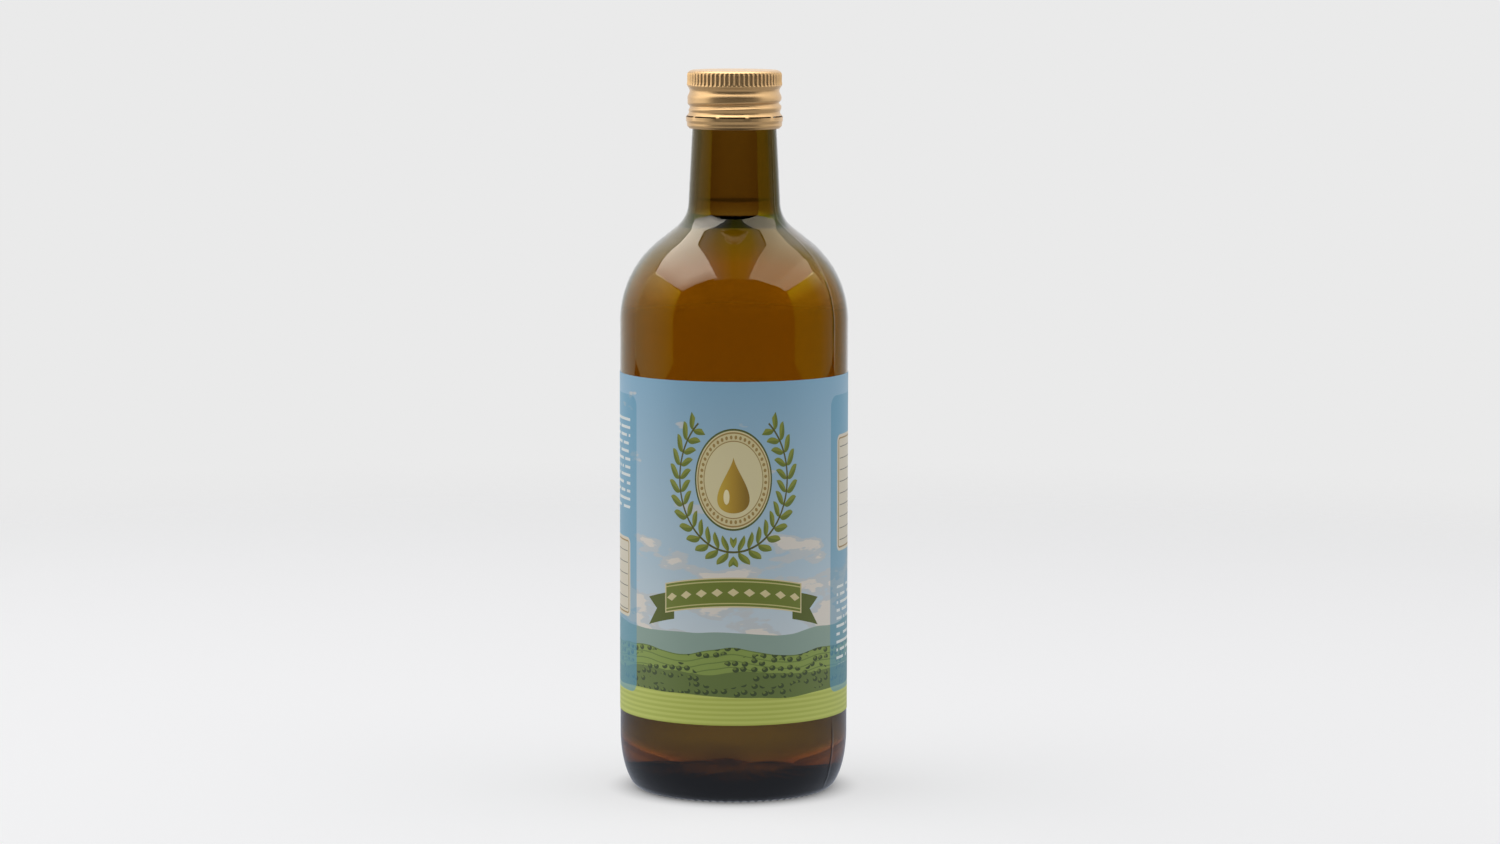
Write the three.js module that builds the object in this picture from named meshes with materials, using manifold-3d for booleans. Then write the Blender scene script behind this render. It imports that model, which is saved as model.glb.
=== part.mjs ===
// A one-litre olive oil bottle: a round green-brown glass body with a full shoulder and a short neck,
// the oil that fills it, a gold aluminium screw cap rolled onto the neck, and a wrap-round paper label.
// Millimetres. The bottle's axis is +Z, its base stands on z = 0 and the label's front faces -Y.

import * as THREE from 'three';
import { mergeVertices } from 'three/addons/utils/BufferGeometryUtils.js';
import Module from 'manifold-3d';

const wasm = await Module();
wasm.setup();

// Every turned surface has this many sides, and each round stretch of an outline this many steps.
const SIDES = 56;
const PUSH_UP_STEPS = 3;
const HEEL_STEPS = 6;
const SHOULDER_STEPS = 6;
const FILLET_STEPS = 5;
const LIP_STEPS = 2;
const FLOOR_STEPS = 2;
const FLOOR_CORNER_STEPS = 4;
const CAP_TOP_STEPS = 3;
const SLIT_STEPS = 6;

// Glass body, outside.
const BODY_RADIUS = 43;
const HEEL_HEIGHT = 22; // the wall starts to turn in towards the base here
const HEEL_INSET = 7.9; // how far the heel draws in by the time it meets the table
const BEARING_WIDTH = 4.2; // flat ring that the bottle stands on
const PUSH_UP = 4.5; // rise of the hollow under the base
const SHOULDER_START = 177.9; // top of the straight wall
const SHOULDER_ARC = 38.5;
const SHOULDER_TURN = THREE.MathUtils.degToRad(51.9); // then the shoulder runs on as a short straight slope
const NECK_FILLET = 11.9; // hollow curve between the slope and the neck
const NECK_ROOT_RADIUS = 17.25;
const NECK_TOP_RADIUS = 15.8;
const NECK_TOP = 251.4; // the neck is hidden by the cap from just below here
const FINISH_RADIUS = 15.3; // plain mouth inside the cap
const FINISH_STEP = 1; // height over which the neck steps in to the mouth
const LIP_HEIGHT = 270.6;
const LIP_ROUND = 1.2;

// Glass wall and the space inside it.
const WALL = 2.4;
const BORE_RADIUS = 10.6;
const BORE_FOOT_RADIUS = 12.4; // inside of the neck at the cap's lower edge
const BORE_ROOT_RADIUS = 13.6; // the neck's wall is thicker than the body's
const BORE_FILLET = 15; // the inside's hollow curve under the neck
const FLOOR_HEIGHT = 8.6; // lowest point of the inside, round the push-up
const FLOOR_CENTRE = 10.8; // top of the inside's dome over the push-up
const FLOOR_CORNER = 5; // how far the inside's bottom corner draws in
const FLOOR_CORNER_HEIGHT = 9;

// Oil.
const OIL_LEVEL = 217.4; // the level shows at the foot of the neck
const OIL_CLEARANCE = 0.3;

// Screw cap.
const CAP_TOP = 272;
const CAP_TOP_RADIUS = 17.4;
const CAP_TOP_ROUND = 1.3;
const CAP_CEILING = 271.3; // underside of the cap's top
const CAP_BORE = 15.7;
const CAP_FOOT_BORE = 16.15; // wider where the foot passes the neck
const CAP_FOOT_BORE_HEIGHT = 1.6;
const CAP_FOOT_BORE_TAPER = 0.5; // height over which the bore narrows above that
const CAP_SKIRT = [
  // radius and height of each ring of points up the skirt
  [16.95, 250.2], [17.6, 250.8], [17.88, 251.4], [17.88, 252.4], // foot curled in under the tamper ring
  [18.2, 253.1], [18.12, 254.3], [17.8, 255], [17.2, 255.8], // lips over and under the slits
  [17.1, 256.3], [17.35, 257], [17.58, 257.6], [17.6, 258.2], [17.6, 258.8], [17.6, 259.4], [17.6, 260],
  [17.62, 260.6], [17.65, 261.2], [17.65, 261.9], [17.38, 262.8], // the thread is rolled in here
  [17, 263.55], [16.87, 264.2], [17.02, 265], [17.6, 265.8], [17.87, 266.5], // groove under the grip
];
const THREAD_PITCH = 3.175;
const THREAD_FRONT_HEIGHT = 258.95; // the thread's groove as it crosses the front
const THREAD_DEPTH = 0.85;
const THREAD_HALF_WIDTH = 1.4;
const THREAD_FIRST_TURN = -0.62; // where the groove begins and ends, in turns from the front
const THREAD_LAST_TURN = 0.42;
const THREAD_RUN_OUT = 0.12; // part of a turn in which it fades away
const KNURL_COUNT = 64;
const KNURL_FOOT = 266.4;
const KNURL_TOP = 271;
const KNURL_SLOPE = 0.8; // height over which the knurls rise at each end
const KNURL_CREST = 17.75;
const KNURL_END = 17.1; // radius at the ring's two ends
const KNURL_VALLEY = 17.3;
const KNURL_ROOT = 16.3; // the ring of knurls is sunk into the skirt to here
const SLIT_COUNT = 10;
const SLIT_HEIGHT = 254.5;
const SLIT_WIDTH = 0.4;
const SLIT_BRIDGE = 4; // degrees of metal left between two slits
const SLIT_TURN = 15.4; // degrees from the front to the middle of the nearest bridge
const SLIT_OVERCUT = 1; // how far the cut runs past the skirt, inside and outside

// Paper label.
const LABEL_FOOT = 30.5;
const LABEL_TOP = 158.8;
const LABEL_GAP = 0.1; // between the glass and the paper, where the glue is
const LABEL_THICKNESS = 0.2;
const LABEL_OPEN_SIDES = 4; // sides of the body that stay bare each way from the middle of the back

// The two curves from the straight wall to the neck's root: the glass outside, and its inside.
const OUTER_SHOULDER = {
  arcRadius: SHOULDER_ARC,
  turn: SHOULDER_TURN,
  fillet: NECK_FILLET,
  rootRadius: NECK_ROOT_RADIUS,
};
const INNER_SHOULDER = {
  arcRadius: SHOULDER_ARC - WALL,
  turn: SHOULDER_TURN,
  fillet: BORE_FILLET,
  rootRadius: BORE_ROOT_RADIUS,
};

// Points of an upright ellipse's arc, between two angles.
function arc(centreX, centreY, radiusX, radiusY, from, to, steps) {
  return new THREE.EllipseCurve(centreX, centreY, radiusX, radiusY, from, to, to < from).getPoints(steps);
}

// Points of such a curve, set inwards by a clearance: a round shoulder, a straight slope that meets it
// smoothly, and a hollow curve up to the neck's root or to a height below it.
function shoulderOutline({ arcRadius, turn, fillet, rootRadius }, clearance = 0, stopHeight = Infinity) {
  const centreX = BODY_RADIUS - SHOULDER_ARC;
  const shoulder = arcRadius - clearance;
  const hollow = fillet + clearance;
  const root = rootRadius - clearance;
  const drawnIn = centreX + shoulder * Math.cos(turn) - hollow * (1 - Math.cos(turn)) - root;
  const slope = drawnIn / Math.sin(turn);
  const rootHeight = SHOULDER_START + (shoulder + hollow) * Math.sin(turn) + slope * Math.cos(turn);
  const below = Math.max(0, rootHeight - stopHeight);
  const stop = Math.PI + Math.asin(below / hollow);
  return [
    ...arc(centreX, SHOULDER_START, shoulder, shoulder, 0, turn, SHOULDER_STEPS),
    ...arc(root + hollow, rootHeight, hollow, hollow, Math.PI + turn, stop, FILLET_STEPS),
  ];
}

// The inside's floor and bottom corner, from the axis out to the wall, set inwards by a clearance.
function floorOutline(clearance) {
  const wall = BODY_RADIUS - WALL - clearance;
  const foot = FLOOR_HEIGHT + clearance;
  const flat = wall - FLOOR_CORNER;
  const rise = FLOOR_CENTRE - FLOOR_HEIGHT;
  const height = FLOOR_CORNER_HEIGHT;
  return [
    ...arc(0, foot, flat, rise, Math.PI / 2, 0, FLOOR_STEPS).slice(0, -1),
    ...arc(flat, foot + height, FLOOR_CORNER, height, -Math.PI / 2, 0, FLOOR_CORNER_STEPS),
  ];
}

// Turns an outline of radius and height round the bottle's axis.
function turned(outline, sides = SIDES) {
  return new THREE.LatheGeometry(outline, sides).rotateX(Math.PI / 2);
}

// A flat band bent round the axis, between two radii and two angles counted from the front.
function bentBand(innerRadius, outerRadius, fromDegrees, toDegrees, sides, foot, height) {
  const from = THREE.MathUtils.degToRad(fromDegrees - 90);
  const to = THREE.MathUtils.degToRad(toDegrees - 90);
  const section = new THREE.Shape();
  section.absarc(0, 0, outerRadius, from, to, false);
  section.absarc(0, 0, innerRadius, to, from, true);
  section.closePath();
  const band = new THREE.ExtrudeGeometry(section, {
    depth: height,
    bevelEnabled: false,
    curveSegments: sides / 2, // an arc is split into twice this number
  });
  return band.translate(0, 0, foot);
}

// A closed geometry as a solid that can be joined and cut, and back.
function toSolid(geometry) {
  const bare = geometry.clone();
  bare.deleteAttribute('normal');
  bare.deleteAttribute('uv');
  const merged = mergeVertices(bare);
  return new wasm.Manifold(
    new wasm.Mesh({
      numProp: 3,
      vertProperties: merged.attributes.position.array,
      triVerts: new Uint32Array(merged.index.array),
    }),
  );
}

function toGeometry(solid) {
  const mesh = solid.getMesh();
  const geometry = new THREE.BufferGeometry();
  geometry.setAttribute('position', new THREE.BufferAttribute(mesh.vertProperties, 3));
  geometry.setIndex(new THREE.BufferAttribute(mesh.triVerts, 1));
  geometry.computeVertexNormals();
  return geometry;
}

// Bottle: blown glass, from the push-up out under the base, up the outside, over the lip and down inside.
function makeBottle() {
  const bearing = BODY_RADIUS - HEEL_INSET;
  const pushUpEdge = bearing - BEARING_WIDTH;
  const lipCentre = new THREE.Vector2(FINISH_RADIUS - LIP_ROUND, LIP_HEIGHT - LIP_ROUND);
  const outline = [
    ...arc(0, 0, pushUpEdge, PUSH_UP, Math.PI / 2, 0, PUSH_UP_STEPS),
    ...arc(bearing, HEEL_HEIGHT, HEEL_INSET, HEEL_HEIGHT, -Math.PI / 2, 0, HEEL_STEPS),
    ...shoulderOutline(OUTER_SHOULDER),
    new THREE.Vector2(NECK_TOP_RADIUS, NECK_TOP),
    new THREE.Vector2(FINISH_RADIUS, NECK_TOP + FINISH_STEP),
    ...arc(lipCentre.x, lipCentre.y, LIP_ROUND, LIP_ROUND, 0, Math.PI / 2, LIP_STEPS),
    new THREE.Vector2(BORE_RADIUS, LIP_HEIGHT),
    new THREE.Vector2(BORE_FOOT_RADIUS, NECK_TOP),
    ...shoulderOutline(INNER_SHOULDER).reverse(),
    ...floorOutline(0).reverse(),
  ];
  return turned(outline);
}

// Oil: fills the inside up to the foot of the neck, with a level top.
function makeOil() {
  const outline = [
    ...floorOutline(OIL_CLEARANCE),
    ...shoulderOutline(INNER_SHOULDER, OIL_CLEARANCE, OIL_LEVEL),
    new THREE.Vector2(0, OIL_LEVEL),
  ];
  return turned(outline);
}

// Presses the screw thread's groove into the skirt, where it climbs round the bottle's mouth.
function rollThread(cap) {
  const position = cap.attributes.position;
  const insideSkirt = (CAP_FOOT_BORE + KNURL_END) / 2;
  for (let i = 0; i < position.count; i += 1) {
    const x = position.getX(i);
    const y = position.getY(i);
    const radius = Math.hypot(x, y);
    if (radius < insideSkirt) continue;
    const frontTurn = Math.atan2(x, -y) / (2 * Math.PI);
    let depth = 0;
    for (const turn of [frontTurn - 1, frontTurn, frontTurn + 1]) {
      const fromEnds = Math.min(turn - THREAD_FIRST_TURN, THREAD_LAST_TURN - turn);
      const fade = THREE.MathUtils.smoothstep(fromEnds, 0, THREAD_RUN_OUT);
      const middle = THREAD_FRONT_HEIGHT + THREAD_PITCH * turn;
      const across = Math.min(1, Math.abs(position.getZ(i) - middle) / THREAD_HALF_WIDTH);
      depth += THREAD_DEPTH * fade * (0.5 + 0.5 * Math.cos(Math.PI * across));
    }
    position.setXY(i, x * (1 - depth / radius), y * (1 - depth / radius));
  }
  return cap;
}

// Upright knurls round the top of the cap: a ring whose points stand out and in by turns.
function makeKnurls() {
  const ring = turned(
    [
      new THREE.Vector2(KNURL_ROOT, KNURL_FOOT),
      new THREE.Vector2(KNURL_END, KNURL_FOOT),
      new THREE.Vector2(KNURL_CREST, KNURL_FOOT + KNURL_SLOPE),
      new THREE.Vector2(KNURL_CREST, KNURL_TOP - KNURL_SLOPE),
      new THREE.Vector2(KNURL_END, KNURL_TOP),
      new THREE.Vector2(KNURL_ROOT, KNURL_TOP),
      new THREE.Vector2(KNURL_ROOT, KNURL_FOOT),
    ],
    2 * KNURL_COUNT,
  );
  const position = ring.attributes.position;
  for (let i = 0; i < position.count; i += 1) {
    const radius = Math.hypot(position.getX(i), position.getY(i));
    const frontAngle = Math.atan2(position.getX(i), -position.getY(i));
    const column = Math.round((frontAngle / Math.PI) * KNURL_COUNT);
    const inwards = column % 2 === 0 ? 1 : Math.min(1, KNURL_VALLEY / radius);
    position.setXY(i, position.getX(i) * inwards, position.getY(i) * inwards);
  }
  return ring;
}

// Cap: one drawn aluminium shell, with the tamper ring still joined to it by small bridges.
function makeCap() {
  const skirt = CAP_SKIRT.map(([radius, height]) => new THREE.Vector2(radius, height));
  const foot = skirt[0].y;
  const topCentre = new THREE.Vector2(CAP_TOP_RADIUS - CAP_TOP_ROUND, CAP_TOP - CAP_TOP_ROUND);
  const outline = [
    new THREE.Vector2(0, CAP_CEILING),
    new THREE.Vector2(CAP_BORE, CAP_CEILING),
    new THREE.Vector2(CAP_BORE, foot + CAP_FOOT_BORE_HEIGHT + CAP_FOOT_BORE_TAPER),
    new THREE.Vector2(CAP_FOOT_BORE, foot + CAP_FOOT_BORE_HEIGHT),
    new THREE.Vector2(CAP_FOOT_BORE, foot),
    ...skirt,
    ...arc(topCentre.x, topCentre.y, CAP_TOP_ROUND, CAP_TOP_ROUND, 0, Math.PI / 2, CAP_TOP_STEPS),
    new THREE.Vector2(0, CAP_TOP),
  ];
  let cap = toSolid(rollThread(turned(outline))).add(toSolid(makeKnurls()));
  const step = 360 / SLIT_COUNT;
  const inside = CAP_BORE - SLIT_OVERCUT;
  const outside = KNURL_CREST + SLIT_OVERCUT;
  for (let i = 0; i < SLIT_COUNT; i += 1) {
    const from = SLIT_TURN + i * step + SLIT_BRIDGE / 2;
    const to = from + step - SLIT_BRIDGE;
    const slit = bentBand(inside, outside, from, to, SLIT_STEPS, SLIT_HEIGHT, SLIT_WIDTH);
    cap = cap.subtract(toSolid(slit));
  }
  return toGeometry(cap);
}

// Label: one sheet of printed paper wrapped round the body, its two ends a little apart at the back.
function makeLabel() {
  const inner = BODY_RADIUS + LABEL_GAP;
  const end = 180 - (360 / SIDES) * LABEL_OPEN_SIDES;
  const sides = SIDES - 2 * LABEL_OPEN_SIDES;
  return bentBand(inner, inner + LABEL_THICKNESS, -end, end, sides, LABEL_FOOT, LABEL_TOP - LABEL_FOOT);
}

function piece(name, geometry, finish) {
  const mesh = new THREE.Mesh(geometry, new THREE.MeshStandardMaterial(finish));
  mesh.name = name;
  return mesh;
}

const oilBottle = new THREE.Group();
oilBottle.add(
  piece('bottle', makeBottle(), {
    color: 0x6b4a10,
    roughness: 0.05,
    metalness: 0,
    transparent: true,
    opacity: 0.55,
  }),
  piece('oil', makeOil(), { color: 0x8a6a08, roughness: 0.1, metalness: 0 }),
  piece('cap', makeCap(), { color: 0xc9a066, roughness: 0.35, metalness: 1 }),
  piece('label', makeLabel(), { color: 0x8fb7c9, roughness: 0.6, metalness: 0 }),
);

export default oilBottle;
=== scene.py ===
# A one-litre bottle of olive oil: blown glass, the oil inside it, a wrap-round paper label and a gold
# aluminium screw cap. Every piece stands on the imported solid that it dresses, in metres.

import functools
import math

import bpy
import numpy as np
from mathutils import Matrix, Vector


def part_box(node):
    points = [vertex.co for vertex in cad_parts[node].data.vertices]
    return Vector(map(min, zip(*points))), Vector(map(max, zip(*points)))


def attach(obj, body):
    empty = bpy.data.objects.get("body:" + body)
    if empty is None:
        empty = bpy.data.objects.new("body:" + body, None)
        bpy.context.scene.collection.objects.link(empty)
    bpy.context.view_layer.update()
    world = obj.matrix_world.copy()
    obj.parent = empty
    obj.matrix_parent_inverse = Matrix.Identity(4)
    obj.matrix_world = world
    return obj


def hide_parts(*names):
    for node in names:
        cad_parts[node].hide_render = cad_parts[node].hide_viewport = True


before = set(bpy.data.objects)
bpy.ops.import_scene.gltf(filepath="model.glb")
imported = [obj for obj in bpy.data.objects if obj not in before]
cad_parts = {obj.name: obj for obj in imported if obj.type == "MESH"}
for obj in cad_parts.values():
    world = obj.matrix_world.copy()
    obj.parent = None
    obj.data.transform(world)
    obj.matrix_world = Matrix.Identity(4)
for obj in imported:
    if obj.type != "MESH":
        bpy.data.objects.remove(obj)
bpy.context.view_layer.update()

# Glass bottle: soda-lime glass of a green-brown tint, blown in a two-part mould. The mould leaves a fine
# seam up each side, and ribs round the base keep the hot glass off the conveyor. The inside is freely
# blown, so its floor is less even than the moulded outside.
MM = 0.001
_, glass_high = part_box("bottle")
BODY_RADIUS = glass_high.x / MM
LIP_HEIGHT = glass_high.z / MM
HEEL_HEIGHT = 22
HEEL_INSET = 7.9
BEARING_WIDTH = 4.2
PUSH_UP = 4.5
SHOULDER_START = 177.9
SHOULDER_ARC = 38.5
SHOULDER_TURN = 51.9  # degrees that the round shoulder turns before a short straight slope
NECK_FILLET = 11.9
NECK_ROOT_RADIUS = 17.25
NECK_TOP_RADIUS = 15.8
NECK_TOP = 251.4
FINISH_RADIUS = 15.3
FINISH_STEP = 1
LIP_ROUND = 1.2
WALL = 2.4
BORE_RADIUS = 10.6
BORE_FOOT_RADIUS = 12.4
BORE_ROOT_RADIUS = 13.6  # the neck's wall is thicker than the body's
BORE_FILLET = 15
SHOULDER_THINNING = 0.8  # the blown shoulder is thinner than the straight wall
FLOOR_HEIGHT = 8.6
FLOOR_CENTRE = 10.8
FLOOR_CORNER = 5
FLOOR_CORNER_HEIGHT = 9
FLOOR_UNEVENNESS = 0.55
FLOOR_WAVES = ((3, 1, 3.7), (7, 0.7, 5.1), (16, 0.5, 0), (29, 0.35, 4.1))  # count, share and turn in radians
FLOOR_WAVE_START = (8, 30)  # radii over which the waves grow
FLOOR_WAVE_END = (FLOOR_HEIGHT + 4, FLOOR_HEIGHT + 6.4)  # heights over which they end in the corner
FLOOR_UNDERSIDE = (PUSH_UP + FLOOR_HEIGHT) / 2  # below this height the glass is the underside
BASE_RIBS = 78
BASE_RIB_DEPTH = 0.45
BASE_RIB_REACH = (31.6, 32.6, 36.4, 37.8)  # radii where the ribs begin, are full, still full, and end
GLASS_COLUMNS = 4 * BASE_RIBS
SEAM_AZIMUTHS = (60, -120)  # degrees from the front towards +X
SEAM_RISE = 0.12
SEAM_HALF_WIDTH = 0.3
LABEL_PANEL = (28.5, 160.3)  # heights between which the seams are dressed flush for the label
PARTING_RING_HEIGHT = 2.4
PARTING_RING_REACH = 0.1
PARTING_RING_RISE = 0.12
STRAIGHT_MARGIN = 0.8  # a straight stretch has a point this near each end, to keep its shading straight
HEIGHT_TOLERANCE = 0.01


def arc(centre, radii, start, end, steps):
    """Points of radius and height on an upright ellipse, between two angles in degrees."""
    angles = [math.radians(start + (end - start) * i / steps) for i in range(steps + 1)]
    return [(centre[0] + radii[0] * math.cos(a), centre[1] + radii[1] * math.sin(a)) for a in angles]


def straight(start, end):
    """A straight stretch of an outline, with a point near each end."""
    share = STRAIGHT_MARGIN / math.dist(start, end)
    return [
        (start[0] + (end[0] - start[0]) * t, start[1] + (end[1] - start[1]) * t)
        for t in (0, share, 1 - share, 1)
    ]


def shoulder_outline(inset, turn, fillet, neck_root, lift=0, stop_height=None):
    """A wall from the straight body up to the neck's root, or to a height below it.

    It is a round shoulder, a straight slope and a hollow curve.
    """
    centre = (BODY_RADIUS - SHOULDER_ARC, SHOULDER_START + lift)
    shoulder = SHOULDER_ARC - inset
    inwards, upwards = math.cos(math.radians(turn)), math.sin(math.radians(turn))
    slope = (centre[0] + shoulder * inwards - fillet * (1 - inwards) - neck_root) / upwards
    root_height = centre[1] + (shoulder + fillet) * upwards + slope * inwards
    stop = 180 + math.degrees(math.asin((root_height - (stop_height or root_height)) / fillet))
    curve = arc(centre, (shoulder, shoulder), 0, turn, 30)
    hollow = arc((neck_root + fillet, root_height), (fillet, fillet), 180 + turn, stop, 14)
    return curve + straight(curve[-1], hollow[0])[1:-1] + hollow


def floor_outline(inset):
    """The inside's domed floor and bottom corner, from the axis to the wall, set in from the outside."""
    wall = BODY_RADIUS - inset
    foot = FLOOR_HEIGHT + inset - WALL
    flat = wall - FLOOR_CORNER
    dome = arc((0, foot), (flat, FLOOR_CENTRE - FLOOR_HEIGHT), 90, 0, 14)
    corner = arc((flat, foot + FLOOR_CORNER_HEIGHT), (FLOOR_CORNER, FLOOR_CORNER_HEIGHT), -90, 0, 18)
    return dome[:-1] + corner


def turned_piece(name, outline, columns):
    """Draws an outline of radius and height in millimetres, point by point, and spins it round the axis."""
    bpy.ops.object.select_all(action="DESELECT")
    bpy.ops.mesh.primitive_plane_add(size=MM)
    piece = bpy.context.object
    piece.name = piece.data.name = name
    bpy.ops.object.mode_set(mode="EDIT")
    bpy.ops.mesh.merge(type="CENTER")
    bpy.ops.transform.translate(value=(0, -outline[0][0] * MM, outline[0][1] * MM))
    for (radius, height), (next_radius, next_height) in zip(outline, outline[1:]):
        step = (0, (radius - next_radius) * MM, (next_height - height) * MM)
        bpy.ops.mesh.extrude_vertices_move(TRANSFORM_OT_translate={"value": step})
    bpy.ops.mesh.select_all(action="SELECT")
    bpy.ops.mesh.spin(steps=columns, angle=2 * math.pi, center=(0, 0, 0), axis=(0, 0, 1))
    bpy.ops.mesh.select_all(action="SELECT")
    bpy.ops.mesh.remove_doubles(threshold=0.002 * MM)
    bpy.ops.mesh.normals_make_consistent(inside=False)
    bpy.ops.object.mode_set(mode="OBJECT")
    return piece


def reshape(piece, rule):
    """Moves every point of a turned piece by a rule on its radius, azimuth and height."""
    for vertex in piece.data.vertices:
        x, y, z = vertex.co
        radius, azimuth, height = rule(math.hypot(x, y) / MM, math.atan2(x, -y), z / MM)
        vertex.co = (radius * MM * math.sin(azimuth), -radius * MM * math.cos(azimuth), height * MM)
    piece.data.update()


def smoothstep(low, high, value):
    """0 below low, 1 above high, and a smooth rise between them."""
    share = min(1, max(0, (value - low) / (high - low)))
    return share * share * (3 - 2 * share)


def uneven_floor(radius, azimuth, height):
    """How far the freely blown floor lies above or below its even shape."""
    wave = sum(share * math.sin(count * azimuth + turn) for count, share, turn in FLOOR_WAVES)
    rim = smoothstep(*FLOOR_WAVE_START, radius) * (1 - smoothstep(*FLOOR_WAVE_END, height))
    return FLOOR_UNEVENNESS * wave * rim


bearing = BODY_RADIUS - HEEL_INSET
push_up_edge = bearing - BEARING_WIDTH
lip_centre = (FINISH_RADIUS - LIP_ROUND, LIP_HEIGHT - LIP_ROUND)
heel = arc((bearing, HEEL_HEIGHT), (HEEL_INSET, HEEL_HEIGHT), -90, 0, 30)
outer_shoulder = shoulder_outline(0, SHOULDER_TURN, NECK_FILLET, NECK_ROOT_RADIUS)
inner_shoulder = shoulder_outline(WALL, SHOULDER_TURN, BORE_FILLET, BORE_ROOT_RADIUS, SHOULDER_THINNING)
inner_floor = floor_outline(WALL)
neck_outside = straight(outer_shoulder[-1], (NECK_TOP_RADIUS, NECK_TOP))
panel_foot, panel_top = LABEL_PANEL
panel_heights = (panel_foot - STRAIGHT_MARGIN, panel_foot, panel_top, panel_top + STRAIGHT_MARGIN)
label_panel = [(BODY_RADIUS, height) for height in panel_heights]
wall_outside = straight(heel[-1], outer_shoulder[0])
outside = heel + wall_outside[1:2] + label_panel + wall_outside[2:3] + outer_shoulder + neck_outside[1:]
inside = inner_floor + straight(inner_floor[-1], inner_shoulder[0])[1:-1] + inner_shoulder
inside += straight(inner_shoulder[-1], (BORE_FOOT_RADIUS, NECK_TOP))[1:]
underside = arc((0, 0), (push_up_edge, PUSH_UP), 90, 0, 16)
underside += [(push_up_edge + BEARING_WIDTH * share, 0) for share in (0.15, 0.4, 0.7)]
mouth = [(FINISH_RADIUS, NECK_TOP + FINISH_STEP)] + arc(lip_centre, (LIP_ROUND, LIP_ROUND), 0, 90, 5)
mouth += arc((BORE_RADIUS + LIP_ROUND, lip_centre[1]), (LIP_ROUND, LIP_ROUND), 90, 180, 5)
glass = turned_piece("bottle_glass", underside + outside + mouth + inside[::-1], GLASS_COLUMNS)
outside_heights = [height for radius, height in outside]
outside_radii = [radius for radius, height in outside]


def mould_marks(radius, azimuth, height):
    """Ribs under the base, a ring where the base plate met the mould, two seams, and the uneven floor."""
    if radius < np.interp(height, outside_heights, outside_radii) - WALL / 2:
        if height > FLOOR_UNDERSIDE:
            height += uneven_floor(radius, azimuth, height)
        return radius, azimuth, height
    begin, full, still_full, end = BASE_RIB_REACH
    if height < PARTING_RING_HEIGHT and begin < radius < end:
        share = smoothstep(begin, full, radius) * (1 - smoothstep(still_full, end, radius))
        height += BASE_RIB_DEPTH * share * (0.5 - 0.5 * math.cos(BASE_RIBS * azimuth))
    elif abs(height - PARTING_RING_HEIGHT) < PARTING_RING_REACH:
        radius += PARTING_RING_RISE
    under_label = panel_foot - HEIGHT_TOLERANCE < height < panel_top + HEIGHT_TOLERANCE
    if PARTING_RING_HEIGHT < height < NECK_TOP and not under_label:
        for seam in SEAM_AZIMUTHS:
            column = (azimuth - math.radians(seam)) * GLASS_COLUMNS / (2 * math.pi)
            if round(column) == 0:
                radius += SEAM_RISE
            elif abs(round(column)) == 1:
                azimuth = math.radians(seam) + math.copysign(SEAM_HALF_WIDTH / radius, column)
    return radius, azimuth, height


reshape(glass, mould_marks)
bpy.ops.object.shade_smooth_by_angle(angle=math.radians(40))


def linear_colour(hex_code):
    """An sRGB hex value as a linear colour."""
    levels = [int(hex_code[i:i + 2], 16) / 255 for i in (1, 3, 5)]
    return [c / 12.92 if c <= 0.04045 else ((c + 0.055) / 1.055) ** 2.4 for c in levels] + [1]


def add_node(tree, kind, *values, sockets=None, output=0, stops=None, **options):
    """Adds one shader node with its options, sets or links its sockets, and gives one of its outputs."""
    node = tree.nodes.new("ShaderNode" + kind)
    for option, value in options.items():
        setattr(node, option, value)
    for socket, value in [*enumerate(values), *(sockets or {}).items()]:
        if isinstance(value, bpy.types.NodeSocket):
            tree.links.new(value, node.inputs[socket])
        elif value is not None:
            node.inputs[socket].default_value = value
    if stops:
        while len(node.color_ramp.elements) < len(stops):
            node.color_ramp.elements.new(1)
        for element, (position, value) in zip(node.color_ramp.elements, stops):
            element.position = position
            element.color = linear_colour(value) if isinstance(value, str) else (value, value, value, 1)
    return node.outputs[output] if node.outputs else node


def new_material(name):
    """An empty material, and the function that adds nodes to it."""
    material = bpy.data.materials.new(name)
    material.use_nodes = True
    material.node_tree.nodes.clear()
    return material, functools.partial(add_node, material.node_tree)


def make_clear(piece, name, tint, absorption, index_of_face):
    """Gives the piece a clear smooth material, tinted by the way through it, with an index by face."""
    centres = np.empty(3 * len(piece.data.polygons))
    piece.data.polygons.foreach_get("center", centres)
    x, y, z = centres.reshape(-1, 3).T / MM
    indices = piece.data.attributes.new("index_step", "FLOAT", "FACE")
    indices.data.foreach_set("value", index_of_face(np.hypot(x, y), z))
    material, node = new_material(name)
    surface = node("BsdfPrincipled", sockets={
        "Base Color": linear_colour("#ffffff"), "Roughness": 0.0, "Transmission Weight": 1.0,
        "IOR": node("Attribute", output="Fac", attribute_name="index_step"),
    })
    node("OutputMaterial", surface, node("VolumeAbsorption", linear_colour(tint), absorption))
    piece.data.materials.append(material)


# Bottle glass: clear and very smooth, so it shows sharp reflections, with a green-brown tint that deepens
# with the length of the way through it. No blue light comes through at all.
GLASS_IOR = 1.51
GLASS_TINT = "#ceb600"
GLASS_ABSORPTION = 900
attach(glass, "root")
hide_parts("bottle")

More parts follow.
